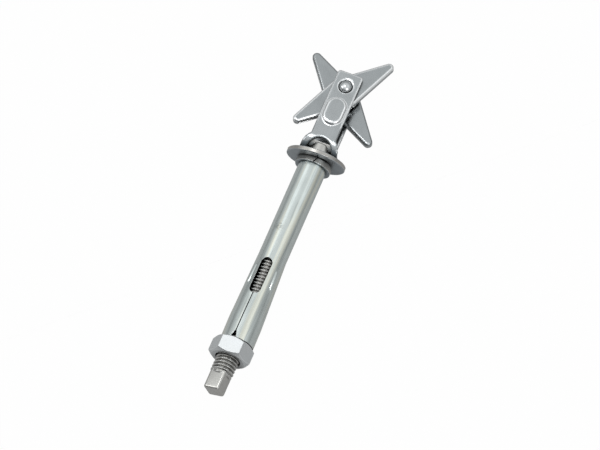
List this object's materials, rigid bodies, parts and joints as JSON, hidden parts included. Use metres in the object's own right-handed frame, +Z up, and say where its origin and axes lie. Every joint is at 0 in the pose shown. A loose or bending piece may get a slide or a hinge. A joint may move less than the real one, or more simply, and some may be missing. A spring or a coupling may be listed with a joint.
{
  "type": "spring toggle bolt",
  "caption": "Threaded stud with square drive, hex nut, slotted sleeve and washers, ending in a folded strap with spring-opened scissor wings.",
  "frame": {"origin": "centre of the bounding box's bottom face, on the surface the bolt lies on", "axes": "+Y along the bolt from its square end to its toggle wings, +Z up, the strap's embossed plate facing up"},
  "size_m": [0.0312, 0.135, 0.0209],
  "materials": {
    "stud_steel": "turned and threaded steel, satin with grey thread roots",
    "nut_steel": "bright satin nut with polished edges",
    "sleeve_zinc": "bright zinc plate, smooth, slightly green-blue",
    "spring_washer_steel": "plain spring steel, satin",
    "washer_steel": "satin stainless washer with bright rim",
    "strap_steel": "satin stainless sheet with polished edges",
    "rivet_steel": "satin stainless, polished dome",
    "front_wing_steel": "polished stainless sheet",
    "rear_wing_steel": "polished stainless sheet",
    "spring_wire": "drawn spring wire"
  },
  "bodies": {
    "stud": {"threaded_rod": "stud_steel", "bracket": "strap_steel", "pivot_rivet": "rivet_steel", "torsion_spring": "spring_wire"},
    "front_wing": {"front_wing": "front_wing_steel"},
    "rear_wing": {"rear_wing": "rear_wing_steel"},
    "sleeve_set": {"expansion_sleeve": "sleeve_zinc", "spring_washer": "spring_washer_steel", "flat_washer": "washer_steel"},
    "nut": {"hex_nut": "nut_steel"}
  },
  "joints": [
    {"name": "front_wing_hinge", "type": "hinge", "parent": "stud", "child": "front_wing", "pos_m": [0.00044, 0.05292, 0.01208], "axis": [0, 0.0521, -0.9986], "range_deg": [-37, 53], "stiffness_Nm_per_rad": 0.02, "deforming": ["torsion_spring"]},
    {"name": "rear_wing_hinge", "type": "hinge", "parent": "stud", "child": "rear_wing", "pos_m": [0.00044, 0.05292, 0.01208], "axis": [0, 0.0521, -0.9986], "range_deg": [-40, 50], "stiffness_Nm_per_rad": 0.02},
    {"name": "nut_turn", "type": "hinge", "parent": "sleeve_set", "child": "nut", "pos_m": [0.00044, -0.05136, 0.00664], "axis": [0, 0.9986, 0.0521], "range_deg": [-1800, 0]},
    {"name": "sleeve_slide", "type": "slide", "parent": "stud", "child": "sleeve_set", "axis": [0, 0.9986, 0.0521], "range_m": [-0.00625, 0]}
  ],
  "couplings": [
    {"joint": "nut_turn", "follows": "sleeve_slide", "rad_per_m": 5026.5}
  ]
}
